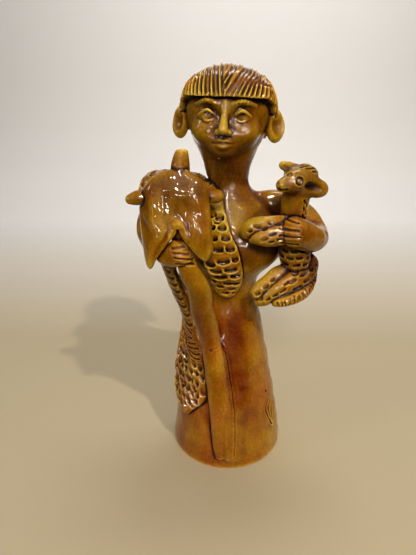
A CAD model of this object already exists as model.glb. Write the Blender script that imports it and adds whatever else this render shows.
import itertools
import math

import bpy
import numpy as np
from mathutils import Matrix


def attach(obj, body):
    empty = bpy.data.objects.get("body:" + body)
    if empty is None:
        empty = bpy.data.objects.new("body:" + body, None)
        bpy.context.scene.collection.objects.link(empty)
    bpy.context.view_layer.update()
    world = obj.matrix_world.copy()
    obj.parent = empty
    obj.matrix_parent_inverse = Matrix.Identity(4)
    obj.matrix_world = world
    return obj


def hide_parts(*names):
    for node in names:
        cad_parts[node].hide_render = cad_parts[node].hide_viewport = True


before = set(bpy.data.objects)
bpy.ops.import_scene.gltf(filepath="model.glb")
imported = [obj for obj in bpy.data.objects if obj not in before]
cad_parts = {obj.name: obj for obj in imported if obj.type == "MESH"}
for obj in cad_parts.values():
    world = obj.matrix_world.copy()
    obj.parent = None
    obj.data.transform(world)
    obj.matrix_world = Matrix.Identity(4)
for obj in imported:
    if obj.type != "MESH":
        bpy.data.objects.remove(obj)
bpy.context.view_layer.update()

# The robe, chest and neck. In the real figure they are one bell of red clay, raised by hand, pressed flatter
# at the chest and drawn in to the neck. Every other piece is luted on to it, and all is fired as one.
# Here the clay is a block of distances to its surface, in mm, that each piece is joined to or cut from.
GRAIN = 0.58
AIR = 9.0  # the distance that stands for air far from any clay
REACH = 4.0  # how far past a shape its distances are worked out
LOW = np.array([-63.0, -53.0, -2.0])  # the corners of the block
HIGH = np.array([70.0, 46.0, 276.0])
SEAM_HALF = 0.8  # half the width of a seam that the knife leaves
clay = np.full(np.ceil((HIGH - LOW) / GRAIN).astype(int), AIR, np.float32)


def points_of(part):
    """The x, y and z of the points in a part of the clay."""
    lines = [low + GRAIN * np.arange(span.start, span.stop) for low, span in zip(LOW, part)]
    return np.ix_(*[line.astype(np.float32) for line in lines])


def block(low, high):
    """The part of the clay between two corners, and the x, y and z of its points."""
    first = np.maximum(((np.asarray(low) - LOW) / GRAIN).astype(int), 0)
    last = np.minimum(((np.asarray(high) - LOW) / GRAIN).astype(int) + 2, clay.shape)
    part = tuple(map(slice, first, last))
    return part, *points_of(part)


def join(part, shape, soft=0.0, seam=0.0):
    """Presses a shape on to the clay. The thumb smooths the join by soft mm, or a knife leaves a seam."""
    here = clay[part]
    apart = np.abs(here - shape)
    corner = here**2 + shape**2 if np.any(seam) else None
    np.minimum(here, shape, out=here)
    if np.any(soft):
        here -= np.maximum(soft - apart, 0) ** 2 / (4 * soft)
    if np.any(seam):
        here += seam * np.exp(-corner / SEAM_HALF**2)


def carve(part, shape, soft=0.0):
    """Scoops a shape out of the clay, with an edge softened by soft mm."""
    here = clay[part]
    apart = np.abs(here + shape)
    np.maximum(here, -shape, out=here)
    if soft:
        here += np.maximum(soft - apart, 0) ** 2 / (4 * soft)


def bend(points, step=1.6):
    """A smooth curve through rows of numbers that begin with x, y and z, as rows about a step apart."""
    rows = np.array(points, float)
    length = np.linalg.norm(np.diff(rows[:, :3], axis=0), axis=1).sum()
    ends = np.vstack([2 * rows[0] - rows[1], rows, 2 * rows[-1] - rows[-2]])
    place = np.linspace(0, len(rows) - 1, max(3, int(length / step) + 1))
    first = np.minimum(place.astype(int), len(rows) - 2)
    t = (place - first)[:, None]
    a, b, c, d = (ends[first + k] for k in range(4))
    return 0.5 * (2 * b + (c - a) * t + (2 * a - 5 * b + 4 * c - d) * t**2 + (3 * b - a - 3 * c + d) * t**3)


BELL = [
    # height, half width, depth as a share of the width
    (-4, 41.0, 1),
    (0, 41.4, 1),
    (3, 42.6, 1),
    (34, 38.2, 1),
    (80, 29.7, 1),
    (108, 24.4, 1),
    (129, 20.6, 1),
    (134, 20.7, 1),
    (138, 21.8, 0.98),
    (142, 24.6, 0.93),
    (147, 30.5, 0.84),
    (152, 35.6, 0.775),
    (158, 38.8, 0.715),
    (164, 38.8, 0.705),
    (171, 36.4, 0.72),
    (182, 30.6, 0.74),
    (190, 24.6, 0.76),
    (196, 18.2, 0.84),
    (204, 13.6, 0.97),
    (215, 15.6, 1),
    (222, 18.2, 1),
    (228, 20.4, 1),
]
NECK_TOP = 231  # where the bell ends inside the head
bell_rows = bend([(0, 0, *row) for row in BELL], step=1.0)[:, 2:]


def bell_at(height):
    """The bell's half width, and its depth as a share of that, at a height."""
    heights, halves, shares = bell_rows.T
    return np.interp(height, heights, halves), np.interp(height, heights, shares)


def on_bell(round_, height, out=0.0):
    """A place on the bell at degrees round from the front, positive towards its left, and so far out."""
    half, share = bell_at(height)
    angle = math.radians(round_)
    return np.array([(half + out) * math.sin(angle), -(half * share + out) * math.cos(angle), height])


part, x, y, z = block((-50, -50, -3), (50, 50, NECK_TOP + 2))
half, share = bell_at(z)
slope = np.gradient(half.ravel(), GRAIN)[None, None, :]
across = np.sqrt(x**2 + (y / share) ** 2) + 1e-3
steep = np.sqrt((x**2 + y**2 / share**4) / across**2 + slope**2)
# The fingers left faint rings as the bell was raised.
rings = 0.1 * np.sin(z / 1.9 + 1.5 * np.sin(z / 11)) + 0.12 * np.sin(z / 4.7 + np.arctan2(x, -y))
bell = ((across - half + rings * (z < 190)) / steep).astype(np.float32)
join(part, np.maximum(np.maximum(bell, -z), z - NECK_TOP))


def turned(x, y, z):
    """The axes of a thing turned by degrees about X, then Y, then Z, as the columns of a matrix."""
    a, b, c = map(math.radians, (x, y, z))
    about_x = np.array([[1, 0, 0], [0, math.cos(a), -math.sin(a)], [0, math.sin(a), math.cos(a)]])
    about_y = np.array([[math.cos(b), 0, math.sin(b)], [0, 1, 0], [-math.sin(b), 0, math.cos(b)]])
    about_z = np.array([[math.cos(c), -math.sin(c), 0], [math.sin(c), math.cos(c), 0], [0, 0, 1]])
    return about_z @ about_y @ about_x


def lump(middle, radii, axes=np.eye(3)):
    """A pressed ball of clay: its part of the block, and the distance to it."""
    middle = np.asarray(middle, float)
    part, x, y, z = block(middle - max(radii) - REACH, middle + max(radii) + REACH)
    near = far = 0
    for axis, radius in zip(axes.T, radii):
        along = ((x - middle[0]) * axis[0] + (y - middle[1]) * axis[1] + (z - middle[2]) * axis[2]) / radius
        near = near + along**2
        far = far + (along / radius) ** 2
    near = np.sqrt(near)
    return part, near * (near - 1) / np.maximum(np.sqrt(far), 1e-5)


def window(lines, low, high):
    """The points of a block, given as its x, y and z, that lie between two corners."""
    return tuple(slice(*np.searchsorted(line.ravel(), ends)) for line, ends in zip(lines, zip(low, high)))


def coil(points, flat=(0, 0, 1), pressed=1.0):
    """A rolled coil of clay through rows of x, y, z and radius, pressed thinner along flat."""
    rows = bend(points)
    reach = rows[:, 3].max() + REACH
    part, x, y, z = block(rows[:, :3].min(0) - reach, rows[:, :3].max(0) + reach)
    shape = np.full(np.broadcast(x, y, z).shape, AIR, np.float32)
    for start, end in zip(rows[:-1], rows[1:]):
        low, high = np.minimum(start, end)[:3] - reach, np.maximum(start, end)[:3] + reach
        near = window((x, y, z), low, high)
        px, py, pz = x[near[0]] - start[0], y[:, near[1]] - start[1], z[:, :, near[2]] - start[2]
        way = end[:3] - start[:3]
        t = np.clip((px * way[0] + py * way[1] + pz * way[2]) / (way @ way), 0, 1)
        px, py, pz = px - t * way[0], py - t * way[1], pz - t * way[2]
        away = px**2 + py**2 + pz**2
        if pressed != 1:
            away += (px * flat[0] + py * flat[1] + pz * flat[2]) ** 2 * (1 / pressed**2 - 1)
        np.minimum(shape[near], np.sqrt(away) - start[3] - t * (end[3] - start[3]), out=shape[near])
    return part, shape


def score(points, width, depth, burr=0.0):
    """Draws a pointed tool along a line of places on the clay: a groove with a burr on either side."""
    part, away = coil([(*place, 0) for place in points])
    groove = depth * np.exp(-((away / width) ** 2))
    clay[part] += groove - burr * np.exp(-(((away - 2 * width) / (0.8 * width)) ** 2))


def feel(places):
    """How far places are from the surface of the clay, negative inside it."""
    steps = np.clip((np.asarray(places) - LOW) / GRAIN, 0, np.array(clay.shape) - 1.001)
    first = steps.astype(int)
    share = steps - first
    total = 0
    for corner in itertools.product((0, 1), repeat=3):
        weight = np.prod(np.where(corner, share, 1 - share), axis=-1)
        total = total + weight * clay[tuple((first + corner).T)]
    return total


def unit(way):
    """A way of length one."""
    return np.asarray(way, float) / np.linalg.norm(way)


def touch(start, way):
    """Where a finger that starts in the air first meets the clay, and the way the clay faces there."""
    farthest = 90
    steps = np.arange(0, farthest, GRAIN / 2)
    felt = feel(np.asarray(start) + steps[:, None] * unit(way))
    first = max(int(np.argmax(felt < 0)), 1)
    share = min(felt[first - 1] / max(felt[first - 1] - felt[first], 1e-6), 1)
    place = np.asarray(start) + (steps[first - 1] + share * GRAIN / 2) * unit(way)
    faces = unit([feel([place + step])[0] - feel([place - step])[0] for step in np.eye(3) * 2 * GRAIN])
    return place, faces


# The head: a ball of clay pinched to an egg and smoothed down on to the neck. Its face is a plain one, with
# the eyes halfway up, the nose's foot midway from brow to chin and the mouth a third of the way below it.
HEAD_MIDDLE = np.array([0, 0, 243.5])
HEAD_AXES = turned(0, 3, -5)
rng = np.random.default_rng(7)


def headed(x, y, z):
    """A place given from the middle of the head, as a place on the turned and tilted head."""
    return HEAD_MIDDLE + HEAD_AXES @ (x, y, z)


def head_coil(points):
    """A coil whose rows are given from the middle of the head."""
    return coil([(*headed(*row[:3]), row[3]) for row in points])


SKULL = [
    # the middles and radii of the balls it is pressed from: crown, face and jaw
    ((0, 0.5, 4), (26.4, 24.6, 19.5)),
    ((0, -0.5, -6), (23.5, 22.6, 16)),
    ((0, -4, -14), (15.5, 16.4, 9.6)),
]
for middle, radii in SKULL:
    join(*lump(headed(*middle), radii, HEAD_AXES), soft=5)
# The chin, and the clay behind the lips.
join(*lump(headed(0, -16.5, -18.5), (7, 5.6, 5)), soft=4)
join(*lump(headed(0, -19, -14), (9, 4.8, 6)), soft=4)
EYE_ASIDE = 10.2
IRIS = 1.55
for side in (-1, 1):
    # The cheek, the eye's socket, and its ball between two lids, with a ring and a dot drawn on it.
    join(*lump(headed(side * 12.5, -16, -8.5), (7, 6, 6.4)), soft=5)
    carve(*lump(headed(side * EYE_ASIDE, -25.6, 0.4), (6.6, 4.2, 4.6)), soft=2.6)
    join(*lump(headed(side * 10.4, -19.1, 0), (4.7, 3.7, 3.2)), soft=0.4)
    for lid in [
        [(side * 5.0, -21.6, -0.4, 0.6), (side * 10, -23.5, 2.9, 1.1), (side * 15.4, -20.2, 0.2, 0.7)],
        [(side * 5.4, -21.6, -0.9, 0.4), (side * 10, -22.6, -3.0, 0.75), (side * 15.2, -20, -0.6, 0.5)],
    ]:
        join(*head_coil(lid), soft=0.7)
    turns = np.linspace(0, 6.283, 9)
    iris = [(side * EYE_ASIDE + IRIS * math.cos(turn), -22.8, 0.1 + IRIS * math.sin(turn)) for turn in turns]
    score([headed(*place) for place in iris], 0.5, 0.5)
    carve(*lump(headed(side * EYE_ASIDE, -22.9, 0.1), (0.8, 0.9, 0.8)), soft=0.3)
    brow = [(side * 4.4, -23.2, 6.2, 1.1), (side * 10.4, -23.2, 8.0, 1.7), (side * 17, -17.8, 6.2, 1.1)]
    join(*head_coil(brow), soft=1.4)
    for nick in np.linspace(5.6, 15.6, 6):
        foot = (side * nick, -24.8 + 0.03 * (nick - 6) ** 2, 5.6)
        score([headed(*foot), headed(foot[0] + side * 0.9, foot[1] + 0.4, 9.2)], 0.5, 0.7)
# The nose with its wings and nostrils, the lips, and the line between them.
join(*head_coil([(0, -22.6, 7, 1.6), (0, -25, -1.5, 2.1), (0, -27.4, -7.6, 3.0)]), soft=1.8)
for side in (-1, 1):
    join(*lump(headed(side * 2.8, -25.6, -8.8), (2.1, 2.6, 2.0)), soft=0.8)
    carve(*lump(headed(side * 1.7, -27.6, -11), (0.8, 1.2, 1.0)), soft=0.3)
    upper_lip = [(side * 6, -22.6, -14.9, 0.5), (side * 2, -24.1, -13.5, 1.15), (0, -24.2, -13.9, 1.0)]
    join(*head_coil(upper_lip), soft=0.8)
join(*head_coil([(-5, -22.8, -15.5, 0.5), (0, -24.0, -16.8, 1.6), (5, -22.8, -15.5, 0.5)]), soft=0.8)
between_lips = [(-6.2, -23, -15), (-2, -25.2, -14.9), (0, -25.4, -15.2), (2, -25.2, -14.9), (6.2, -23, -15)]
score([headed(*place) for place in between_lips], 0.55, 1.0)
score([headed(0, -24.6, -10.8), headed(0, -24.6, -12.6)], 0.7, 0.4)

# The ears: two small discs of the same clay, pinched to a rolled rim and hollowed with a thumb. Each is luted
# on level with the nose and its seam smoothed, before the hair is laid round it.
for side in (-1, 1):
    axes = HEAD_AXES @ turned(0, side * -8, side * 28)
    ear = headed(side * 29.6, -1, -5)
    join(*lump(ear, (6.4, 3.2, 9.8), axes), soft=2.2)
    carve(*lump(ear + axes @ (side * 0.6, -3.3, 0.8), (4.2, 2.5, 7), axes), soft=1.2)

# The hair: a cap of clay put over the skull, cut off at the fringe, round the ears and at the nape, and
# combed with a pointed stick. The strokes lean towards each other over the brow and run back over the crown.
CAP = (30.0, 28.0, 28.8)
FULLNESS = 2.35  # how boxy the cap is, where 2 is an ellipsoid
HAIR_EDGE = [
    # how far back, and how high the cap's edge is there, from the fringe to the nape
    (-40, 10.6), (-15, 10.2), (-9, 7.5), (-6, 2.5), (5, -1.5), (11, -9), (18, -14.6), (40, -16.5),
]
HEM = 1.6  # how broadly the edge is rounded

part, x, y, z = block(HEAD_MIDDLE - 36, HEAD_MIDDLE + 36)
place = [x - HEAD_MIDDLE[0], y - HEAD_MIDDLE[1], z - HEAD_MIDDLE[2]]
hx, hy, hz = (sum(p * a for p, a in zip(place, axis)) for axis in HEAD_AXES.T)
shares = [np.abs(p) / radius for p, radius in zip((hx, hy, hz), CAP)]
level = sum(s**FULLNESS for s in shares) ** (1 / FULLNESS) + 1e-4
steep = level ** (1 - FULLNESS) * np.sqrt(sum((s ** (FULLNESS - 1) / r) ** 2 for s, r in zip(shares, CAP)))
cap = (level - 1) / steep
edge = np.interp(hy, *zip(*HAIR_EDGE)) - hz
overlap = np.maximum(HEM - np.abs(cap - edge), 0)
join(part, (np.maximum(cap, edge) + overlap**2 / (4 * HEM)).astype(np.float32), soft=0.5, seam=0.6)


def on_cap(x, y, z):
    """The place on the hair that lies that way from the middle of the head."""
    level = sum((abs(p) / r) ** FULLNESS for p, r in zip((x, y, z), CAP)) ** (1 / FULLNESS)
    return headed(x / level, y / level, z / level)


def comb(points):
    """One stroke of the comb, no straighter or deeper than a hand makes it."""
    sway = rng.uniform(-0.25, 0.25, 3)
    score([on_cap(*(np.array(place) + sway)) for place in points], 0.74, rng.uniform(1.7, 2.3), 0.4)


FRINGE = 10.8  # the height at which the strokes start from it


def brow_depth(aside):
    """How far forward the fringe is, so far to the side."""
    return -26 * math.sqrt(max(1 - (aside / 29.5) ** 2, 0.1))


# From the fringe back on the right side, then on the left, then the two where they meet.
for i in range(11):
    foot = -1.4 - 2.35 * i
    depth = brow_depth(foot)
    comb([(foot, depth, FRINGE), (foot - 1.0, depth * 0.88, 17.5), (foot - 2.3 + 0.12 * i, depth * 0.62, 25),
          (foot * 0.86 - 2.4, -4, 29), (foot * 0.8 - 2, 7, 29)])
for i in range(10):
    foot = 1.0 + 2.6 * i
    lean = 7.6 - 0.55 * i
    depth = brow_depth(foot)
    comb([(foot, depth, FRINGE), (foot + 0.5 * lean, depth * 0.86, 17.5),
          (foot + lean, depth * 0.6, 24.4 - 0.8 * i), (foot * 0.86 + lean, -3, 28),
          (foot * 0.8 + lean * 0.9, 8, 27)])
for foot, rise in [(-0.6, 14), (-1.6, 18.5)]:
    comb([(foot, -24, rise), (foot + 0.18 * (26 - rise) + 2, -17, 24.5),
          (foot + 5 - 0.2 * (rise - 14), -4, 29), (foot + 5, 7, 29)])
# Round the sides and the back, each starts beyond the ends of those strokes, and every other one further out.
for count, turn in enumerate(np.arange(64, 297, 5.2)):
    angle = math.radians(turn + rng.uniform(-0.5, 0.5))
    way = np.array([math.sin(angle), -math.cos(angle)])
    foot = float(np.interp(28 * way[1], *zip(*HAIR_EDGE))) - 1
    start = min(23 / max(abs(way[0]), 0.1), (9 + 6 * (count % 2)) / max(way[1], 0.1))
    crown = float(np.interp(start, (0, 9, 19, 27), (29, 28, 23, 12)))
    path = [(start, crown), (19, 23), (27, 12), (29, (foot + 12) / 2), (28, foot)]
    comb([(*(way * out), rise) for out, rise in path if out >= start])

# The right arm: a thick coil from the shoulder round the elbow, smoothed to the chest. The left one is put on
# after the lamb that it holds.
RIGHT_ARM = [
    # x, y, z and radius, from the shoulder to the wrist
    (-12, 1, 187, 8.4), (-33, 0, 189, 8.8), (-50.2, -6, 180, 9.2),
    (-49.6, -19, 169.5, 7.6), (-39.5, -34, 166.5, 5.8),
]
join(*coil(RIGHT_ARM), soft=3.5)

# The fleece: a long flat slab of clay hung over the right shoulder, luted on by its middle. Tufts of wool
# are pressed into it in rows with a gouge, closest and longest on the end that lies on the robe's side.
def over_bell(round_, height, out, half, bow, off=0):
    """A row of the slab that lies on the bell."""
    angle = math.radians(round_)
    return [*on_bell(round_, height, out), math.sin(angle), -math.cos(angle), 0.1, half, bow, off]


FLEECE = [
    # place, facing, half width, how far its edges bow back, and how far its back edge stands off the robe
    over_bell(1.4, 132.2, 2.0, 4.8, 0.5),
    over_bell(0, 136.4, 1.4, 8.4, 1.2),
    over_bell(-0.6, 143, 1.3, 10.6, 2.0),
    over_bell(-2.2, 152, 1.2, 11.3, 2.2),
    over_bell(-6.6, 161, 1.2, 11.8, 2.2),
    over_bell(-13, 170, 1.3, 11.8, 2.2),
    over_bell(-20, 181, 1.6, 11.2, 2.2),
    [-15.6, -15.6, 195.5, -0.2, -0.8, 0.7, 11, 2, 0],
    [-29, -1, 205, -0.1, -0.25, 1, 14, 3, 0],
    [-43, 3, 207.4, -0.3, 0, 1, 14.6, 3, 0],
    [-52.4, 4, 205.6, -0.6, 0, 0.9, 14.6, 3, 0],
    [-57.2, 7, 196, -1, 0.1, 0.3, 14.2, 3.4, 0],
    [-56.6, 8, 184, -1, 0.1, 0, 13.6, 3.4, 0],
    [-51, 5, 167, -1, 0, 0, 11.6, 2.5, 0],
    [-43, -4.6, 147, -0.94, -0.38, 0.1, 10.8, 2.6, 0],
    [-36.2, -7, 128, -0.94, -0.38, 0.1, 10.6, 2.6, 1],
    over_bell(-72, 110, 6.4, 11.4, 3.2, 2),
    over_bell(-62, 92, 3.4, 16, 4.2, 4),
    over_bell(-57, 76, 2.2, 19, 5.2, 4.6),
    over_bell(-55, 61, 1.8, 19.4, 5.4, 4.2),
    over_bell(-54, 49, 1.6, 15.4, 3.2, 2.6),
    over_bell(-51, 38.5, 1.4, 4.6, 0.5),
]
SLAB = 2.9  # half the slab's thickness
PINCH = 1.3  # how close together the balls of clay are that it is built from
fleece_rows = bend(FLEECE, step=PINCH)
down = np.gradient(fleece_rows[:, :3], axis=0)
down /= np.linalg.norm(down, axis=1)[:, None]
aside = np.cross(down, fleece_rows[:, 3:6])
aside /= np.linalg.norm(aside, axis=1)[:, None]
faces = np.cross(aside, down)


def on_fleece(row, across, out=0.0):
    """A place on the slab at a row of it, across from -1 to 1 over its width."""
    half, bow, off = fleece_rows[row, 6:9]
    out += off * max(across, 0) ** 2 - bow * across**2
    return fleece_rows[row, :3] + aside[row] * across * half + faces[row] * out


part, x, y, z = block(fleece_rows[:, :3].min(0) - 20, fleece_rows[:, :3].max(0) + 20)
slab = np.full(np.broadcast(x, y, z).shape, AIR, np.float32)
for row in range(len(fleece_rows)):
    half, _, off = fleece_rows[row, 6:9]
    # Where its back edge stands off the robe, it is pressed thicker, down to the robe.
    sinks = (0, 2.4, 4.8) if off > 0.5 else (0,)
    for across in np.linspace(-1, 1, max(3, int(2 * half / PINCH))):
        radius = SLAB - 0.5 * across**4
        for sink in sinks:
            spot = on_fleece(row, across * (1 - radius / max(half, 3)), -sink)
            near = window((x, y, z), spot - radius - 3, spot + radius + 3)
            px, py, pz = x[near[0]] - spot[0], y[:, near[1]] - spot[1], z[:, :, near[2]] - spot[2]
            np.minimum(slab[near], np.sqrt(px**2 + py**2 + pz**2) - radius, out=slab[near])
join(part, slab, soft=0.3, seam=0.7)


def tuft(place, faces, hang, wide, tall, deep, round_=2.0):
    """Presses a tuft of wool with a gouge: a scoop so wide and tall, deepest by its curved, raised lip.

    A lip with round_ 2 is a half circle, a lower one is more pointed, and a higher one more square.
    """
    hang = unit(hang - faces * (hang @ faces))
    across = np.cross(faces, hang)
    reach = 1.9 * max(wide, tall)
    part, x, y, z = block(place - reach, place + reach)
    px, py, pz = x - place[0], y - place[1], z - place[2]
    a, b, c = (px * way[0] + py * way[1] + pz * way[2] for way in (across, hang, faces))
    a, b = a / wide, b / tall
    away = (np.abs(a) ** round_ + np.maximum(b, 0) ** round_) ** (1 / round_)
    fall = np.clip((b + 0.95) / 1.5, 0, 1) ** 1.2
    pit = np.clip((1 - away) / (0.55 - 0.38 * fall), 0, 1) * fall
    lip = np.exp(-(((away - 1.1) / 0.12) ** 2)) * np.clip((b + 0.6) / 0.9, 0, 1)
    clay[part] += (deep * pit - 0.24 * deep * lip) * np.clip(2 - np.abs(c) / 2, 0, 1)


def from_front(across, height, way=(0, 1, 0)):
    """The place on the clay met by a finger that comes from in front, and the way the clay faces there."""
    return touch((across, -70, height - 30 * way[2]), way)


FIRST_TUFTS = 52.0  # how far along the slab its rows of tufts start, out of sight above the chest
ROBE_SHARE = 0.66  # the share of its length at which it comes to lie on the robe
MARGIN = 1.8  # how much is left bare along its edges
walked = np.concatenate([[0], np.cumsum(np.linalg.norm(np.diff(fleece_rows[:, :3], axis=0), axis=1))])
count = 0
along = FIRST_TUFTS
while along < walked[-1] - 2:
    row = int(np.searchsorted(walked, along))
    half = fleece_rows[row, 6]
    hang = down[row] if down[row][2] < 0 else -down[row]
    # Over the shoulder the tufts are broad, and on the end that lies on the robe they are narrow leaves.
    on_robe = along > walked[-1] * ROBE_SHARE
    pitch, astray = (5.6, 1.2) if on_robe else (6.4, 0.7)
    height = fleece_rows[row, 2]
    for across in np.arange(-9, 10) * pitch + (count % 2) * pitch / 2:
        stray = rng.uniform(-1, 1, 2) * astray
        if abs(across + stray[0]) > half - MARGIN:
            continue
        # Its front edge is left bare here for the crescents and the wisps.
        if row > len(fleece_rows) / 2 and (across < 3 and height > 103 or across < -2 and height > 80):
            continue
        start = on_fleece(row, (across + stray[0]) / half, 12)
        place, _ = touch(start, -faces[row])
        if not 1 < np.linalg.norm(place - start) < 14:
            continue
        if on_robe:
            lean = hang - aside[row] * rng.uniform(-0.1, 0.9) * (0.4 - 0.4 * across / half)
            tuft(place + hang * stray[1], faces[row], lean, rng.uniform(2.0, 2.9), rng.uniform(3.2, 4.8),
                 rng.uniform(1.5, 2.4), rng.uniform(1.3, 1.9))
        else:
            tuft(place + hang * stray[1], faces[row], hang, rng.uniform(2.8, 3.5), rng.uniform(2.2, 2.8),
                 rng.uniform(1.2, 1.7))
    along += rng.uniform(5.0, 6.2) if on_robe else 5.4
    count += 1
STRIP_TUFTS = [
    # across, height, half width and height of the tufts that show on the chest
    (-4.9, 185.6, 3.0, 2.9), (-10, 179.6, 2.8, 2.4), (-3.3, 179.6, 3.2, 2.4), (-8.8, 173, 3.2, 2.3),
    (-0.9, 173.4, 3.2, 2.5), (-5.8, 166.2, 3.8, 2.4), (1.9, 166.8, 3.5, 2.8), (-12.5, 166, 3, 2.4),
    (-2.4, 158.4, 4.6, 2.6), (5, 159.6, 2.8, 2.4), (-11, 156, 4, 2.6), (-7.4, 151.6, 4.4, 2.6),
    (2.2, 152.8, 4.6, 2.7), (-4.4, 146.6, 4.8, 2.6), (5.2, 147.2, 4.2, 2.6), (-9.4, 142.4, 3, 1.8),
    (0.4, 141.2, 3.4, 1.6), (6, 140.8, 2.8, 1.5), (-4.6, 138.6, 2.8, 1.3), (3, 136.8, 3.2, 1.2),
    (-1.2, 134, 2.8, 1.0), (4.8, 133.4, 1.8, 0.9),
]
for across, height, wide, tall in STRIP_TUFTS:
    place, facing = from_front(across, height)
    hang = np.array([rng.uniform(-0.12, 0.12), 0, -1])
    tuft(place, facing, hang, wide * rng.uniform(0.94, 1.1), tall * 1.08, rng.uniform(1.9, 2.5),
         2.0 if height < 165 else 2.6)
# Beside the waist, where the slab is seen edge on, the gouge was drawn right across it.
CRESCENTS = [
    # across, height and half width
    (-41.4, 144.4, 2.2), (-39.4, 140, 2.6), (-37.4, 135.4, 2.7), (-35.4, 130.6, 2.9),
    (-33.6, 125.4, 3.0), (-31.8, 119.6, 2.9), (-29.6, 113.4, 2.8), (-27.4, 107.2, 2.7),
]
for across, height, half in CRESCENTS:
    crescent = [(-half, 1.1), (-0.5 * half, -0.5), (0.3 * half, -1.1), (half, 0.1)]
    score([from_front(across + a, height + b)[0] for a, b in crescent], 0.85, 2.2, 0.5)
# Wisps sweep towards the staff where the slab widens on the robe, each felt for by its turn round the robe.
WISPS = [
    # degrees round the robe, and height
    [(-66, 104), (-56, 102), (-49, 101)],
    [(-74, 99), (-60, 96.6), (-48, 97.6)],
    [(-80, 95), (-63, 92.6), (-50, 93.4), (-41, 95)],
    [(-70, 92), (-57, 90), (-46, 90.6), (-37, 92)],
    [(-58, 90.6), (-50, 87.4), (-40, 87), (-34, 88.6)],
    [(-54, 87), (-45, 83.6), (-34, 84.6)],
    [(-46, 82), (-38, 80), (-32, 81)],
]
for wisp in WISPS:
    score([touch(on_bell(*spot, 14), on_bell(*spot) * (-1, -1, 0))[0] for spot in wisp], 0.55, 1.2, 0.4)

# The staff: a thick coil stood on the robe's front and luted along its foot, leaning out to the right hand
# and crossed at the top by three short arms. A dent and a smeared seam were left where it was pressed on.
STAFF = [
    # x, y, z and radius, from the foot to the cross
    (-2.4, -38.9, 4, 6.4),
    (-3.6, -38.2, 20, 6.9),
    (-4.3, -37.2, 36, 7.2),
    (-5.3, -35.6, 53, 7.4),
    (-6.8, -33.6, 66, 7.4),
    (-8.8, -31.4, 84, 7.2),
    (-10.8, -30.2, 99, 6.9),
    (-13.6, -31.6, 114, 7.5),
    (-16, -34, 126, 7.6),
    (-17.6, -37.4, 141, 7.2),
    (-23.6, -39.8, 156, 6.4),
    (-28, -39.6, 172, 5.4),
    (-28.4, -39.2, 205, 5.0),
]
SMEAR = [
    # the same of the clay that was smeared beside it to hold it
    (-5, -20.6, 96, 5.6),
    (-3, -22.6, 84, 6.8),
    (-1, -24.6, 72, 7.6),
    (0.4, -26.8, 60, 8),
    (1.6, -29.6, 46, 8),
    (2.2, -32.6, 30, 8),
    (2, -35.2, 12, 8),
]
CROSS = [
    # the arms of the cross: the top one, and those towards the figure's right and left
    [(-28.4, -37.8, 200, 4.8), (-27.2, -37.2, 214, 5.5), (-26.7, -36.6, 220.5, 4.8), (-26, -36.2, 224, 3.9)],
    [(-28, -38.5, 200, 4.8), (-50, -36.8, 199.4, 4.6), (-57, -36.8, 198.6, 3.1)],
    [(-28, -38.5, 200, 4.8), (-6.2, -33, 199.2, 4.1)],
]
CROSS_TOP = 226.4  # where the top arm is cut off flat
EASED_BELOW = 106  # the staff's one side is thumbed out on to the robe below this height
part, shape = coil(SMEAR)
join(part, np.maximum(shape, 2 - points_of(part)[2]), soft=5)
part, shape = coil(STAFF, (0, 1, 0), 0.82)
x, _, z = points_of(part)
middle = np.interp(z, [row[2] for row in STAFF], [row[0] for row in STAFF])
eased = np.clip((x - middle) / 4, 0, 1) * np.clip((EASED_BELOW - z) / 14, 0, 1) + 0 * shape
foot = 9.4 + 0.2 * x  # cut off aslant above the hem
join(part, np.maximum(shape, foot - z), soft=0.5 + 4 * eased, seam=0.55 * (1 - eased))
for arm in CROSS:
    part, shape = coil(arm)
    join(part, np.maximum(shape, points_of(part)[2] - CROSS_TOP), soft=1.0)
seam = [(-1.2, 92), (1.6, 77), (3.8, 62), (5.6, 47), (6.2, 32), (5.6, 12)]
score([from_front(*spot)[0] for spot in seam], 0.5, 0.2, 0.25)
scar = from_front(-11, 96)[0]
carve(*lump(scar, (1.7, 0.7, 1.2)), soft=0.5)
score([scar + (-3.6, 0.6, 1.6), scar + (0, 0, 1.4), scar + (4, 0.8, 1.8)], 0.5, 0.25, 0.15)
# Beside it a deep groove parts it from the fleece, felt for from above the front.
from_above = unit((-0.1, 0.92, -0.39))
groove = [(-33.6, 148), (-32.5, 142.8), (-30.2, 133.7), (-27.2, 123.2), (-24.2, 114.3), (-21.8, 105.9)]
score([touch(np.array([px, -20, pz]) - 30 * from_above, from_above)[0] for px, pz in groove], 1.5, 3.2)

# The right hand: a flattened mitten of clay at the end of the arm, pressed round the staff and luted to it.
# Its fingers are parted by slits, cut with a knife while the clay was soft.
def slit(points, depth=1.7):
    """Slits fingers apart: the knife is felt for on the clay from in front, between two places across it."""
    (ax, az), (bx, bz) = points
    shares = np.linspace(0, 1, 5)
    score([from_front(ax + (bx - ax) * t, az + (bz - az) * t)[0] for t in shares], 0.62, depth, 0.35)


RIGHT_HAND = [(-38.4, -41, 164.4, 4.6), (-34, -42.4, 165.2, 6.6), (-29, -42.6, 167.4, 8.8)]
RIGHT_SLITS = [
    # from and to: across and height of each end
    [(-32.4, 171.4), (-24.6, 172.9)],
    [(-31.6, 168.7), (-22.6, 167.9)],
    [(-30.8, 165.8), (-20.6, 164.1)],
    [(-30.4, 161.9), (-20.2, 160.7)],
]
join(*coil(RIGHT_HAND, (0, 1, 0), 0.66), soft=0.5, seam=0.5)
for points in RIGHT_SLITS:
    slit(points)

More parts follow.
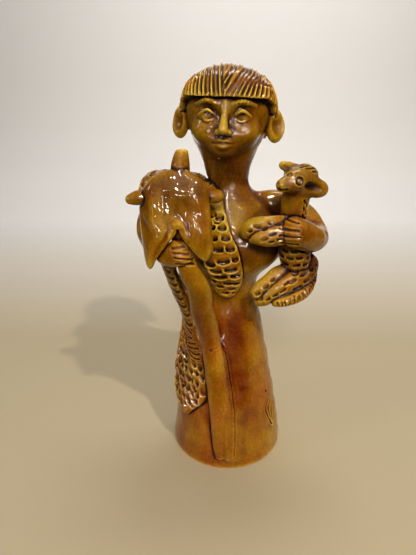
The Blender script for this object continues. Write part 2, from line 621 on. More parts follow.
# The pennant: a flat slab draped over the cross like a hood. Its top is domed, and it hangs in two pointed
# tails either side of a notch. Its right edge is creased and turned back in a soft fold.
PENNANT = [
    # across and height of points along its outline
    (-49.6, 204.6), (-47, 207.6), (-43.6, 210.6), (-39.9, 213.1), (-35.9, 214.9), (-31.4, 216.3),
    (-26.3, 216.8), (-22.6, 216.2), (-20, 214.2), (-17, 212), (-13.6, 209), (-11.2, 206), (-10.4, 201.5),
    (-10.1, 196), (-9.8, 189), (-9.2, 182), (-8.5, 175.5), (-8.8, 170.3), (-9.9, 166), (-11.8, 163),
    (-13.8, 162.4), (-16, 164.7), (-18.2, 167.4), (-21, 171), (-23.8, 174.8), (-26, 178), (-27.4, 180.9),
    (-28.6, 181.9), (-30, 180.2), (-32.5, 177), (-35, 174), (-38.2, 170), (-41.4, 165.4), (-43.6, 161.8),
    (-45.3, 158.4), (-46.8, 157), (-48.6, 158), (-50.2, 162), (-51.2, 167), (-51.8, 173), (-52.6, 179),
    (-53, 185), (-53, 192), (-51.8, 199),
]
outline = bend([(px, pz, 0) for px, pz in PENNANT + PENNANT[:1]], step=1.2)[:, :2]
part, x, y, z = block((-58, -53, 152), (-2, -28, 222))
flat_x, flat_z = x[:, 0, :], z[0, 0, :][None, :]
edge = np.full(np.broadcast(flat_x, flat_z).shape, 99.0)
inside = np.zeros(edge.shape, bool)
for (ax, az), (bx, bz) in zip(outline[:-1], outline[1:]):
    squared = (bx - ax) ** 2 + (bz - az) ** 2
    t = np.clip(((flat_x - ax) * (bx - ax) + (flat_z - az) * (bz - az)) / squared, 0, 1)
    edge = np.minimum(edge, np.hypot(flat_x - ax - t * (bx - ax), flat_z - az - t * (bz - az)))
    level = (flat_z < max(az, bz)) & (flat_z >= min(az, bz))
    inside ^= level & (flat_x < ax + (flat_z - az) * (bx - ax) / (bz - az or 1e-9))
edge = np.where(inside, -edge, edge)


def swell(across, up, wide, high):
    """A soft swelling of the pennant round a place on it."""
    return np.exp(-(((flat_x - across) / wide) ** 2) - ((flat_z - up) / high) ** 2)


def ridge(apart, half):
    """A soft ridge, so far apart from its line and so wide."""
    return np.exp(-((apart / half) ** 2))


NOTCH_TOP = 178
ROUNDED = 2.2  # how round the slab's edges are
SWELLS = [
    # dents and, with a minus, bulges: how deep, across, height, half width and half height
    [(1.3, -29, 192, 5, 12), (-1.8, -17, 180, 6.5, 14), (-1.2, -20, 203, 7, 6)],
    [(0.9, -35.5, 195, 3.4, 14), (-1.2, -29, 186.5, 4.5, 3.2), (0.7, -23.5, 183, 2.2, 9)],
]
# How far back the slab lies: domed, thrown back over the cross at the top and a little at the tails,
sag = -47.6 + 4.8 * ((flat_x + 29) / 20) ** 2 + 0.13 * np.clip(flat_z - NOTCH_TOP, 0, 24)
sag += 4.6 * (np.maximum(flat_z - 198, 0) / 20) ** 2
sag += 1.6 * (np.maximum(NOTCH_TOP - flat_z, 0) / 16) ** 2
# turned back along a fold with a crease, dented here and there, with a ridge that arches over the notch,
FOLD = [(159, -46.6), (170, -43.6), (178, -41.4), (186, -41.2), (194, -42.4), (203, -44.2), (212, -44.5)]
fold = np.interp(flat_z, *zip(*FOLD))
crease = 1.5 * ridge(flat_x - fold, 4.6) * np.clip((208 - flat_z) / 14, 0, 1)
sag += 1.4 * np.logaddexp(0, (fold - flat_x) / 2.2) - crease
for group in SWELLS:
    sag += sum(amount * swell(*spot) for amount, *spot in group)
arch = np.hypot((flat_x + 28.2) / 4.8, np.maximum(flat_z - NOTCH_TOP, -0.1) / 7.6)
arched = np.clip((flat_z - 172) / 8, 0, 1)
sag -= (0.5 * ridge(arch - 1, 0.2) - 0.3 * ridge(arch - 1.5, 0.3)) * arched
# and faintly dimpled by the fingers.
dimples = np.sin(flat_x / 1.9 + 1.3 * np.sin(flat_z / 5)), np.sin(flat_z / 3.1 + 0.9 * np.sin(flat_x / 4))
sag += 0.22 * dimples[0] * dimples[1]
lean = np.sqrt(1 + sum(g**2 for g in np.gradient(sag, GRAIN)))
thick = (2.7 - 0.9 * np.clip((flat_z - 205) / 10, 0, 1))[:, None, :]
beside = np.abs(y - sag[:, None, :]) / lean[:, None, :] - thick + ROUNDED
outside = np.broadcast_to((edge + ROUNDED)[:, None, :], beside.shape)
slab = np.hypot(np.maximum(beside, 0), np.maximum(outside, 0))
slab = slab + np.minimum(np.maximum(beside, outside), 0) - ROUNDED
join(part, slab.astype(np.float32), soft=0.4, seam=0.5)
# The hem was pinched along the left tail, and a hole shows where the notch was cut.
hem = [(-31.6, 184.6), (-35, 179.6), (-38.6, 174.4), (-42, 168.6), (-44.4, 163.4)]
score([from_front(*spot)[0] for spot in hem], 1.0, 0.4, 0.12)
carve(*lump((-28.4, -46.5, 183), (1.5, 3, 1.5)), soft=0.5)

# The lamb: an upright coil with its haunches curled forward, held to the breast. Its legs and tail are
# flattened coils laid over each other, its wool is pressed with a small gouge, and its face is pinched.
LAMB_BODY = [
    # x, y, z and radius, from the rump to the head
    (49, -15, 141, 10.2),
    (45.4, -18.4, 150, 10.0),
    (43.6, -20.5, 161, 9.9),
    (42.6, -23, 174, 8.8),
    (40.6, -25, 186, 8.0),
    (40.8, -25.5, 196, 8.3),
    (43, -26, 205, 8.0),
]
LAMB_LIMBS = [
    # how flat it was pressed, then its rows: the hind legs and the tail, then the forelegs
    (0.85, [(41, -20, 150, 5.4), (32.8, -24, 147, 5.3), (27.2, -26, 142.8, 5.2), (22.4, -27, 138.8, 5.2),
            (19.8, -27.4, 135.6, 5.1)]),
    (0.85, [(52.5, -16, 151, 8.0), (49.5, -21.5, 146.8, 8.2), (42.4, -25.5, 143, 7.4), (35, -28, 139, 6.4),
            (28.8, -29.4, 134.6, 5.2), (24, -29.4, 131, 4.0), (20.4, -28.6, 128.8, 2.6)]),
    (1.0, [(54.8, -12, 152, 3.8), (55.4, -15.5, 147.6, 4.2), (54.6, -20, 142.6, 4.4), (51, -24.6, 137.2, 4.5),
           (46, -28.2, 134.2, 4.5), (40.4, -30.6, 132.6, 4.3), (35, -31.6, 131.6, 4),
           (31.6, -31.4, 130.8, 3.4)]),
    (0.75, [(34, -30.5, 182.6, 4.8), (24, -33.2, 181.8, 5.6), (16.4, -32.4, 180.4, 6.2),
            (12.6, -31, 178.2, 5.5)]),
    (0.75, [(34, -34.5, 176.9, 7.2), (28, -36, 176.2, 6.4), (23, -37, 175.4, 5.6), (18.7, -36.5, 174.6, 4.3),
            (14.8, -35, 172.9, 1.9)]),
]
LAMB_TUFTS = [
    # across and height of a tuft, its half width and height, and its lip's way in degrees from below
    (41.2, 145.6, 3.2, 1.7, 24), (45.0, 140.6, 3.6, 2.0, 18), (48.6, 149.2, 3.0, 1.6, 20),
    (35.2, 139.8, 3.0, 1.5, 30), (50.8, 144.8, 2.4, 1.8, 10), (37.4, 144.2, 2.2, 1.1, 35),
    (43.4, 149.6, 2.6, 1.5, 30), (30.8, 136.6, 2.4, 1.2, 38), (54.2, 151.4, 2.0, 1.6, 0),
    (26.2, 133.4, 2.0, 1.0, 40), (24.6, 141.4, 2.4, 1.8, 40), (19.4, 136.8, 2.2, 1.8, 20),
    (28.8, 145.6, 2.2, 1.5, 40), (21.8, 133.0, 1.8, 1.2, 50), (17.6, 182.4, 2.6, 1.6, -10),
    (25.6, 184.6, 2.4, 1.3, 10), (29.6, 183.4, 2.2, 1.3, -5), (13.2, 179.4, 2.0, 1.4, 25),
    (22.0, 180.6, 2.0, 1.1, 20), (21.6, 175.6, 2.6, 1.4, 25), (26.6, 178.6, 2.8, 1.3, 15),
    (30.8, 175.2, 2.0, 1.2, 10), (26.0, 173.8, 2.0, 1.0, 10),
]
join(*coil(LAMB_BODY), soft=1.0, seam=0.4)
for turn in range(-70, 250, 40):
    for count, height in enumerate(np.arange(150, 166, 4.8) + rng.uniform(-1, 1)):
        angle = math.radians(turn + 20 * (count % 2) + rng.uniform(-9, 9))
        out = np.array([math.sin(angle), -math.cos(angle), 0])
        heights = [row[2] for row in LAMB_BODY]
        middle = [np.interp(height, heights, [row[k] for row in LAMB_BODY]) for k in (0, 1)] + [height]
        place, facing = touch(np.array(middle) + out * 15, -out)
        if 7 < np.linalg.norm(place - middle) < 12:
            hang = np.array([rng.uniform(-0.3, 0.3), 0, -1])
            tuft(place, facing, hang, rng.uniform(2.4, 3.3), rng.uniform(1.6, 2.4), 1.5)
for press, limb in LAMB_LIMBS:
    join(*coil(limb, (0, 1, 0), press), soft=0.5, seam=0.4)
for across, height, wide, tall, turn in LAMB_TUFTS:
    place, facing = from_front(across, height)
    hang = np.array([math.sin(math.radians(turn)), 0, -math.cos(math.radians(turn))])
    tuft(place, facing, hang, 1.12 * wide, 1.25 * tall, rng.uniform(1.1, 1.6))
# Nicks across the tail, and down the back of the neck for the mane.
tail = bend(LAMB_LIMBS[2][1], step=1.7)
for count, (px, py, pz, radius) in enumerate(tail[4:-1]):
    way = unit((tail[count + 5] - tail[count + 3])[:3])
    out = unit(np.cross(way, np.cross((0.35, -1, -0.1), way)))
    over = np.cross(way, out)
    start = np.array([px, py, pz]) + out * 9
    nick = [touch(start + over * radius * t + way * rng.uniform(-0.9, 0.9), -out)[0]
            for t in (-0.6 + rng.uniform(-0.2, 0.5), 0, 0.6 + rng.uniform(-0.5, 0.2))]
    score(nick, 0.6, rng.uniform(0.4, 0.8), 0.25)
MANE = [(45.4, 196), (46.8, 193.6), (45.4, 191.4), (46.8, 189), (45.2, 187), (46.6, 185)]
for across, height in MANE:
    place, _ = from_front(across, height)
    score([place + (-0.9, 0, 1.0), place + (0.2, 0, -0.8), place + (1.2, 0.3, -0.9)], 0.6, 1.3, 0.4)
for height in np.arange(184, 204, 2.6):
    for turn in (95, 130):
        angle = math.radians(turn + rng.uniform(-8, 8))
        start = np.array([41 + 12 * math.sin(angle), -25 - 12 * math.cos(angle), height + 0.02 * turn])
        place, _ = touch(start, (-math.sin(angle), math.cos(angle), 0))
        if 0.5 < np.linalg.norm(place - start) < 12:
            score([place + (-0.6, 0, 1.4), place + (0.4, 0, -1.4)], 0.55, 0.8, 0.3)
# Its head, from the crown to the nose, with a lump for the brow, then the far ear and the near one.
LAMB_HEAD = [
    (45.6, -25.5, 207.6, 8.2), (40.4, -30.4, 207.4, 7.4),
    (35.4, -33.8, 206.8, 5.4), (31.3, -36.4, 206.2, 3.8),
]
FAR_EAR = [(42, -23, 212.2, 3.4), (37, -24.6, 214.4, 3.5), (32.6, -26, 216, 2.7)]
join(*coil(LAMB_HEAD), soft=2.5)
join(*lump((38.6, -27.6, 210.6), (6, 5.4, 4.6)), soft=2)
join(*coil(FAR_EAR, (0, 1, 0), 0.75), soft=1.2)
carve(*lump((34.4, -29.0, 214.8), (3.2, 1.8, 1.4), turned(0, 28, 0)), soft=0.6)
axes = turned(0, 17, 16)
join(*lump((51.4, -28.4, 203.4), (9.0, 3.4, 5.8), axes), soft=1.8)
carve(*lump((50.4, -33.4, 204.2), (6.4, 2.9, 2.9), axes), soft=1.6)
CURLS = [
    # wisps over the crown, from over the eye to behind the ear
    [(41.5, -31, 225), (44.5, -28, 225), (47.6, -27, 225)],
    [(42.5, -27, 225), (46, -24.6, 225), (50, -24, 225)],
    [(45, -31, 225), (48.5, -28.6, 225), (51.6, -25.5, 225)],
    [(41, -22.6, 225), (45.4, -21, 225), (49.6, -20.6, 225)],
    [(49.4, -30.4, 225), (52, -27.5, 225), (53.4, -24, 225)],
]
join(*coil([(41, -26, 213.6, 2.2), (46, -24, 213.6, 2.8), (51, -22.4, 210.4, 2.8)]), soft=1.6)
for curl in CURLS:
    score([touch(spot, (0, 0, -1))[0] for spot in curl], 0.6, 1.0, 0.35)
LAMB_EYES = [(40.7, 208.9, 1.15), (34.9, 212.6, 0.9)]  # across, height and size
for across, height, size in LAMB_EYES:
    # A socket, a ball in it, and a thread of clay laid round it.
    middle, facing = from_front(across, height, (0, 1, -0.13))
    flat = unit(np.cross(facing, (0, 0, 1)))
    rise = np.cross(flat, facing)
    carve(*lump(middle + facing * 0.3, (2.4 * size,) * 3), soft=0.3)
    join(*lump(middle - facing * 2.0, (1.9 * size,) * 3), soft=0.2)
    turns = np.linspace(0, 6.283, 13)
    ring = [middle + 2.6 * size * (math.cos(turn) * flat + math.sin(turn) * rise) for turn in turns]
    join(*coil([(*(touch(place + facing * 4, -facing)[0]), 0.5) for place in ring]), soft=0.3)
mouth = [(27.4, 206), (29.2, 204.6), (31.6, 204), (34, 204.2)]
score([from_front(*spot, (0, 1, -0.1))[0] for spot in mouth], 0.6, 2.0, 0.3)
carve(*lump(from_front(28.4, 207.8, (0, 1, -0.1))[0], (0.8, 1.2, 0.7)), soft=0.4)

# The left arm and its hand, in one thick coil: smoothed to the chest, and pressed round the lamb.
LEFT_ARM = [
    # x, y, z and radius, from the shoulder to the knuckles
    (12, 1, 187, 8.4), (34, 1, 188.5, 8.6), (49.5, -2, 181, 8.8), (56.6, -11, 170, 9.3),
    (52, -24, 171.5, 9.2), (45.5, -32, 175.5, 9.3), (40.2, -35.4, 178, 9.6),
]
LEFT_SLITS = [
    [(34.6, 186.4), (41, 185.2)],
    [(30.8, 181.4), (41, 180.9)],
    [(30.8, 177.3), (42.2, 176.9)],
    [(31.6, 172.6), (41.4, 172.4)],
]
part, shape = coil(LEFT_ARM, (0.3, 0.95, 0), 0.85)
held = np.clip((-16 - points_of(part)[1]) / 8, 0, 1) + 0 * shape
join(part, shape, soft=3.5 - 3.1 * held, seam=0.5 * held)
for points in LEFT_SLITS:
    slit(points, 2.0)

# The sprig: four curved strokes that meet at their feet, drawn low on the robe's left side with a pointed
# stick while the clay was soft. A fingertip left the dent above it.
SPRIG = [
    # degrees round the robe, and height
    [(59.6, 45.2), (53, 41.3), (51.6, 36.8), (54.6, 30.3), (59.6, 22.8)],
    [(62.5, 42.4), (57.5, 37.6), (57.5, 30.6), (59.8, 23.6)],
    [(66.6, 40.7), (64, 33.1), (61.7, 27), (60.8, 23.1)],
    [(71.6, 37.4), (72, 30), (67.2, 25.4), (61.6, 22)],
]
for stroke in SPRIG:
    score([touch(on_bell(*spot, 10), on_bell(*spot) * (-1, -1, 0))[0] for spot in stroke], 0.55, 1.3, 0.5)
carve(*lump(on_bell(57.2, 52, 0), (1.5, 1.5, 1.0)), soft=0.5)

# No surface made by hand is true: long, shallow dents from pressing and smoothing the soft clay lie all over
# it, but for the flat underside that it stands on.
part, x, y, z = block(LOW, HIGH)
DENT = 0.07
off_ground = np.clip((z - 1) / 5, 0, 1)
for _ in range(5):
    way = rng.normal(size=3)
    length = rng.uniform(8, 15)
    way *= 2 * math.pi / length / np.linalg.norm(way)
    clay[part] += DENT * off_ground * np.sin(way[0] * x + way[1] * y + way[2] * z + rng.uniform(0, 6))

# The skin of the clay, drawn as one mesh: a vertex in each cell that the surface passes through, and a face
# round each line between two neighbouring points of which one is inside and the other outside.
cells, crossings = [], []
for axis, (u, v) in enumerate([(1, 2), (2, 0), (0, 1)]):
    before, after = np.delete(clay, -1, axis), np.delete(clay, 0, axis)
    spots = np.stack(np.nonzero((before < 0) != (after < 0)), 1)
    here, there = before[tuple(spots.T)], after[tuple(spots.T)]
    crossing = spots.astype(float)
    crossing[:, axis] += here / (here - there)
    ring = []
    for du, dv in ((-1, -1), (0, -1), (0, 0), (-1, 0)):
        cell = spots.copy()
        cell[:, u] += du
        cell[:, v] += dv
        ring.append(np.ravel_multi_index(cell.T, clay.shape))
    ring = np.stack(ring, 1)
    ring[here > 0] = ring[here > 0][:, ::-1]
    cells.append(ring)
    crossings.append(crossing)
cells, crossings = np.concatenate(cells), np.concatenate(crossings)
_, index = np.unique(cells.ravel(), return_inverse=True)
index = index.ravel()
shared = np.bincount(index)
places = np.stack([np.bincount(index, np.repeat(crossings[:, k], 4)) / shared for k in range(3)], 1)
places = LOW + GRAIN * places
quads = index.reshape(-1, 4)
# Bubbles shut in the clay and crumbs off it are left out.
label = np.arange(len(places))
one, other = quads.ravel(), np.roll(quads, 1, axis=1).ravel()
while True:
    lowest = np.minimum(label[one], label[other])
    spread = label.copy()
    np.minimum.at(spread, one, lowest)
    np.minimum.at(spread, other, lowest)
    spread = spread[spread]
    if (spread == label).all():
        break
    label = spread
kept = label == np.bincount(label).argmax()
quads = (np.cumsum(kept) - 1)[quads[kept[quads[:, 0]]]]
places = places[kept]

MOST_TRIANGLES = 190_000
rough = bpy.data.meshes.new("clay_skin")
rough.vertices.add(len(places))
rough.vertices.foreach_set("co", (places / 1000).astype(np.float32).ravel())
rough.loops.add(quads.size)
rough.loops.foreach_set("vertex_index", quads.astype(np.int32).ravel())
rough.polygons.add(len(quads))
rough.polygons.foreach_set("loop_start", np.arange(0, quads.size, 4, dtype=np.int32))
rough.update(calc_edges=True)
figurine = bpy.data.objects.new("glazed_saint", rough)
bpy.context.scene.collection.objects.link(figurine)
if 2 * len(quads) > MOST_TRIANGLES:
    thinned = figurine.modifiers.new("thinned", "DECIMATE")
    thinned.ratio = MOST_TRIANGLES / (2 * len(quads))
    seen = figurine.evaluated_get(bpy.context.evaluated_depsgraph_get())
    figurine.data = bpy.data.meshes.new_from_object(seen)
    figurine.modifiers.clear()
    bpy.data.meshes.remove(rough)
skin = figurine.data
skin.validate()
skin.name = "glazed_saint"
skin.shade_smooth()

# How the glaze ran: it is thin on edges and pools in hollows, so each point of the skin is told how much clay
# there is round it, close by and further off.
RUN = 0.17  # how much a run of one changes the tone
spots = np.empty(len(skin.vertices) * 3)
skin.vertices.foreach_get("co", spots)
spots = spots.reshape(-1, 3) * 1000
solid = np.clip(0.5 - clay / (2 * GRAIN), 0, 1)
pooled = 0
POOLING = [
    # how far round each point, and how much hollows and edges there change the tone
    (1.4, -2.4, 1.35), (4.5, -1.3, 0.4),
]
for around, in_hollows, on_edges in POOLING:
    steps = max(1, round(around / GRAIN))
    for axis in range(3):
        total = np.cumsum(solid, axis=axis, dtype=np.float32)
        count = np.arange(solid.shape[axis])
        solid = np.take(total, np.minimum(count + steps, count[-1]), axis)
        solid -= np.take(total, np.maximum(count - steps - 1, 0), axis)
        solid /= 2 * steps + 1
    clay = solid
    hollow = feel(spots) - 0.5
    pooled = pooled + in_hollows * np.maximum(hollow, 0) + on_edges * np.maximum(-hollow, 0)
turns = np.degrees(np.arctan2(spots[:, 0], -spots[:, 1]))
RUNS = [
    # where the glaze ran thick on the robe, or thin where negative: degrees round, height, spread and amount
    (14, 105, 16, 34, 1.0),
    (0, 210, 200, 14, 1.3),
    (40, 178, 16, 12, 0.8),
    (22, 60, 12, 22, 0.5),
    (-24, 30, 26, 22, -0.15),
    (60, 60, 24, 60, -0.4),
    (170, 90, 40, 50, 0.7),
    (68, 152, 12, 14, 1.9),
    (-6, 92, 7, 16, -0.9),
    (-28, 120, 14, 30, 0.6),
    (-66, 74, 18, 34, 0.9),
    (78, 174, 14, 16, 0.5),
    (0, 264, 200, 13, 0.8),
    (-70, 128, 20, 20, 0.8),
]
for turn, height, wide, tall, amount in RUNS:
    pooled -= RUN * amount * np.exp(-(((turns - turn) / wide) ** 2) - ((spots[:, 2] - height) / tall) ** 2)
skin.attributes.new("glaze_form", "FLOAT", "POINT").data.foreach_set("value", pooled.astype(np.float32))

# The glaze: a clear honey-coloured lead glaze over red clay, poured on and fired. It is thin and yellow on
# the edges, brown where it is thick, nearly black where it pooled, streaked where it ran, and very glossy.
def linear(hex_colour):
    """A colour given as sRGB hex, as the linear colour that a shader takes."""
    shares = [int(hex_colour[i : i + 2], 16) / 255 for i in (0, 2, 4)]
    return (*[c / 12.92 if c <= 0.04045 else ((c + 0.055) / 1.055) ** 2.4 for c in shares], 1)


def node(tree, kind, inputs=(), **settings):
    """Adds a node. Its inputs are given as values or as the sockets that feed them."""
    made = tree.nodes.new("ShaderNode" + kind)
    for name, value in settings.items():
        setattr(made, name, value)
    for name, value in dict(inputs).items():
        if isinstance(value, bpy.types.NodeSocket):
            tree.links.new(value, made.inputs[name])
        else:
            made.inputs[name].default_value = value
    return made


honey_glaze = bpy.data.materials.new("honey_lead_glaze")
honey_glaze.use_nodes = True
tree = honey_glaze.node_tree
shader = tree.nodes["Principled BSDF"]
ground = node(tree, "TexCoord").outputs["Object"]
ran = node(tree, "Mapping", {"Vector": ground, "Scale": (1, 1, 0.16)}).outputs[0]
# The tone is changed by the form, by streaks about 6 mm wide and 37 mm long, by patches about 26 mm across
# and by specks of 2 mm: what each is drawn by, its middle value, and by how much it changes the tone.
form = node(tree, "Attribute", attribute_name="glaze_form")
streaks = node(tree, "TexNoise", {"Vector": ran, "Scale": 170, "Detail": 3, "Roughness": 0.55})
blotches = node(tree, "TexNoise", {"Vector": ground, "Scale": 38, "Detail": 2})
specks = node(tree, "TexNoise", {"Vector": ground, "Scale": 560, "Detail": 5, "Roughness": 0.7})
tone = 0.58
for source, middle, share in [(form.outputs["Fac"], 0, 1), (streaks.outputs[0], 0.5, 0.2),
                              (blotches.outputs[0], 0.5, 0.34), (specks.outputs[0], 0.5, 0.42)]:
    scaled = node(tree, "Math", {0: source, 1: share, 2: -middle * share}, operation="MULTIPLY_ADD")
    tone = node(tree, "Math", {0: scaled.outputs[0], 1: tone}, operation="ADD").outputs[0]
ramp = node(tree, "ValToRGB", {"Fac": tone})
TONES = [
    # from the thickest glaze to the thinnest
    (0.0, "100601"), (0.15, "2E1403"), (0.3, "532A03"), (0.44, "764504"), (0.56, "8D5E07"),
    (0.68, "A47710"), (0.82, "C0962E"), (1.0, "DBBA64"),
]
while len(ramp.color_ramp.elements) < len(TONES):
    ramp.color_ramp.elements.new(0.5)
for element, (place, colour) in zip(ramp.color_ramp.elements, TONES):
    element.position = place
    element.color = linear(colour)
# Iron in the glaze fired redder in some places and greener in others, and reddest low on the robe.
patches = node(tree, "TexNoise", {"Vector": ground, "Scale": 26, "Detail": 3}).outputs[0]
above_foot = node(tree, "SeparateXYZ", {0: ground}).outputs["Z"]
lift = node(tree, "MapRange", {0: above_foot, 1: 0.1, 2: 0.15, 3: -0.014, 4: 0.004}).outputs[0]
hue = node(tree, "MapRange", {0: patches, 1: 0.3, 2: 0.7, 3: 0.484, 4: 0.522}).outputs[0]
hue = node(tree, "Math", {0: hue, 1: lift}, operation="ADD").outputs[0]
varied = node(tree, "HueSaturation", {"Hue": hue, "Color": ramp.outputs["Color"]}).outputs[0]
tree.links.new(varied, shader.inputs["Base Color"])
# Its skin ripples every 4 mm or so, and has pinholes of about 1 mm.
ripple = node(tree, "TexNoise", {"Vector": ground, "Scale": 250, "Detail": 1}).outputs[0]
pits = node(tree, "TexNoise", {"Vector": ground, "Scale": 900, "Detail": 3}).outputs[0]
relief = node(tree, "Bump", {"Height": ripple, "Strength": 0.24, "Distance": 0.0006}).outputs[0]
fine = node(tree, "Bump", {"Height": pits, "Strength": 0.02, "Distance": 0.0002, "Normal": relief}).outputs[0]
tree.links.new(fine, shader.inputs["Normal"])
tree.links.new(fine, shader.inputs["Coat Normal"])
# The clay under the glaze hardly shines, and the glaze over it is a hard, clear, wet-looking coat.
FINISH = {"Roughness": 0.4, "Specular IOR Level": 0.1, "IOR": 1.5,
          "Coat Weight": 1.0, "Coat Roughness": 0.02, "Coat IOR": 1.38}
for name, value in FINISH.items():
    shader.inputs[name].default_value = value
skin.materials.append(honey_glaze)

# The underside: bare, fired red clay, wiped clean of glaze so that it did not stick to the kiln shelf. It is
# matt and dry to the eye, and speckled with the grog that was worked into the clay.
bare_clay = bpy.data.materials.new("bare_fired_clay")
bare_clay.use_nodes = True
tree = bare_clay.node_tree
shader = tree.nodes["Principled BSDF"]
ground = node(tree, "TexCoord").outputs["Object"]
grog = node(tree, "TexNoise", {"Vector": ground, "Scale": 900, "Detail": 6, "Roughness": 0.7}).outputs[0]
stain = node(tree, "TexNoise", {"Vector": ground, "Scale": 60, "Detail": 3}).outputs[0]
tone = node(tree, "Math", {0: grog, 1: 0.5, 2: stain}, operation="MULTIPLY_ADD").outputs[0]
ramp = node(tree, "ValToRGB", {"Fac": tone})
for element, place, colour in zip(ramp.color_ramp.elements, (0.35, 0.95), ("7A3F22", "BC7A52")):
    element.position = place
    element.color = linear(colour)
tree.links.new(ramp.outputs["Color"], shader.inputs["Base Color"])
grain = node(tree, "Bump", {"Height": grog, "Strength": 0.4, "Distance": 0.0003}).outputs[0]
tree.links.new(grain, shader.inputs["Normal"])
shader.inputs["Roughness"].default_value = 0.85
skin.materials.append(bare_clay)
for face in skin.polygons:
    if face.center.z < 0.0004 and face.normal.z < -0.8:
        face.material_index = 1

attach(figurine, "root")
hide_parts("saint_figurine")

# The studio: a sheet of pale paper that lies under the figurine and curves up behind it, lamps, and a camera
# where the photographer's was. The sheet ends in front, so that the glaze has a dark room to mirror there.
SHEET_HALF = 0.75  # metres, like all that follows
SHEET = [
    # y and z of its lines, from the front edge to the top
    (-0.14, 0), (0.6, 0), (0.72, 0.012), (0.82, 0.05), (0.9, 0.12), (0.94, 0.22), (0.95, 0.34), (0.95, 1.2),
]
floor = bpy.data.meshes.new("floor")
floor.from_pydata([(side, y, z) for y, z in SHEET for side in (-SHEET_HALF, SHEET_HALF)], [],
                  [(2 * i, 2 * i + 1, 2 * i + 3, 2 * i + 2) for i in range(len(SHEET) - 1)])
floor.shade_smooth()
floor = bpy.data.objects.new("floor", floor)
bpy.context.scene.collection.objects.link(floor)
paper = bpy.data.materials.new("pale_paper")
paper.use_nodes = True
tree = paper.node_tree
shader = tree.nodes["Principled BSDF"]
depth = node(tree, "SeparateXYZ", {0: node(tree, "TexCoord").outputs["Object"]}).outputs["Y"]
fade = node(tree, "ValToRGB", {"Fac": depth})
for element, place, colour in zip(fade.color_ramp.elements, (0.15, 0.7), ("ABA088", "E4E3E3")):
    element.position = place
    element.color = linear(colour)
tree.links.new(fade.outputs["Color"], shader.inputs["Base Color"])
shader.inputs["Roughness"].default_value = 0.9
floor.data.materials.append(paper)

world = bpy.data.worlds.new("soft_room")
world.use_nodes = True
tree = world.node_tree
background = tree.nodes["Background"]
sky = node(tree, "SeparateXYZ", {0: node(tree, "TexCoord").outputs["Generated"]})
glow = node(tree, "MapRange", {0: sky.outputs["Z"], 1: -0.1, 2: 0.9, 3: 0.02, 4: 0.42}).outputs[0]
background.inputs["Color"].default_value = linear("F2EEE8")
tree.links.new(glow, background.inputs["Strength"])
scene = bpy.context.scene
scene.world = world
scene.view_settings.view_transform = "Standard"
scene.view_settings.look = "Medium High Contrast"
scene.view_settings.exposure = -0.12


def stood(right, up, back, place):
    """The matrix of a lamp or camera that stands in a place, looking away from its back."""
    rows = np.stack([right, up, back], 1)
    return Matrix([(*row, where) for row, where in zip(rows, place)] + [(0, 0, 0, 1)])


LAMPS = [
    # name, place, aimed at, width and height, watts, colour, and whether it lights the clay, shows as a glint
    # in the glaze, or both
    ("key", (0.42, -0.62, 0.95), (0, 0, 0.14), (0.034, 0.034), 5.4, "FFF1DC", "both"),
    ("window", (-0.8, -0.35, 0.5), (0, 0, 0.14), (0.14, 0.14), 0.9, "F0ECF2", "both"),
    ("wall", (0.1, 0.25, 1.0), (0, 0.95, 0.15), (0.4, 0.4), 4.7, "FFFFFF", "both"),
    ("ceiling", (0.02, -0.95, 0.78), (0, 0, 0.16), (0.2, 0.2), 5.8, "FFF1DC", "clay"),
]
SPOTS = [
    (-0.12, -1.0, 0.72), (0.1, -1.0, 0.56), (-0.02, -0.9, 0.9),
    (0.24, -0.95, 0.8), (-0.3, -0.8, 0.62), (0.04, -0.7, 0.98),
]
for count, place in enumerate(SPOTS, 1):
    LAMPS.append((f"spot_{count}", place, (0, 0, 0.16), (0.028, 0.028), 2.6, "FFF1DC", "glaze"))
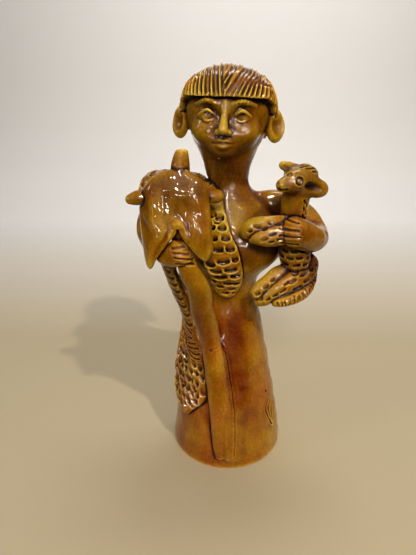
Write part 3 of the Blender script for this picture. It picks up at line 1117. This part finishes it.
TUBES = [
    # place, width and height, and watts
    ((-0.4, -0.97, 0.24), (0.2, 0.012), 0.9),
    ((0.06, -1.04, 0.26), (0.012, 0.16), 0.8),
    ((0.39, -0.95, 0.26), (0.2, 0.012), 0.9),
    ((0.53, -0.87, 0.26), (0.012, 0.16), 0.8),
    ((0.3, -0.94, 0.48), (0.36, 0.012), 1.4),
    ((0.21, -1.0, 0.38), (0.2, 0.012), 0.9),
]
for count, (place, size, watts) in enumerate(TUBES, 1):
    LAMPS.append((f"tube_{count}", place, (0, 0, 0.19), size, watts, "FFF6E8", "glaze"))
LAMPS.append(("doorway", (-0.7, -0.79, 0.26), (0, 0, 0.19), (0.02, 0.4), 0.55, "E6E2F8", "glaze"))
for name, place, aimed_at, (wide, tall), watts, colour, shows in LAMPS:
    lamp = bpy.data.lights.new(name, "AREA")
    lamp.shape = "RECTANGLE"
    lamp.size, lamp.size_y = wide, tall
    lamp.energy = watts
    lamp.color = linear(colour)[:3]
    lamp = bpy.data.objects.new(name, lamp)
    lamp.visible_diffuse = shows != "glaze"
    lamp.visible_glossy = shows != "clay"
    aim = unit(np.subtract(place, aimed_at))
    right = unit(np.cross((0, 0, 1), aim))
    lamp.matrix_world = stood(right, np.cross(aim, right), aim, place)
    scene.collection.objects.link(lamp)

# The camera stands close in front and looks down by about 21 degrees.
YAW, PITCH, ROLL = math.radians(-2.83), math.radians(21.26), math.radians(-0.73)
forward = np.array([math.sin(YAW) * math.cos(PITCH), math.cos(YAW) * math.cos(PITCH), -math.sin(PITCH)])
right = np.array([math.cos(YAW), -math.sin(YAW), 0])
upward = np.cross(right, forward)
cosine, sine = math.cos(ROLL), math.sin(ROLL)
right, upward = right * cosine + upward * sine, upward * cosine - right * sine
camera = bpy.data.cameras.new("camera")
camera.sensor_width = 36
camera.lens = 417 / 555 * camera.sensor_width  # 417 pixels, where the picture is 555 high
camera = bpy.data.objects.new("camera", camera)
camera.matrix_world = stood(right, upward, -forward, (0, -0.27944, 0.24398))
scene.collection.objects.link(camera)
scene.camera = camera
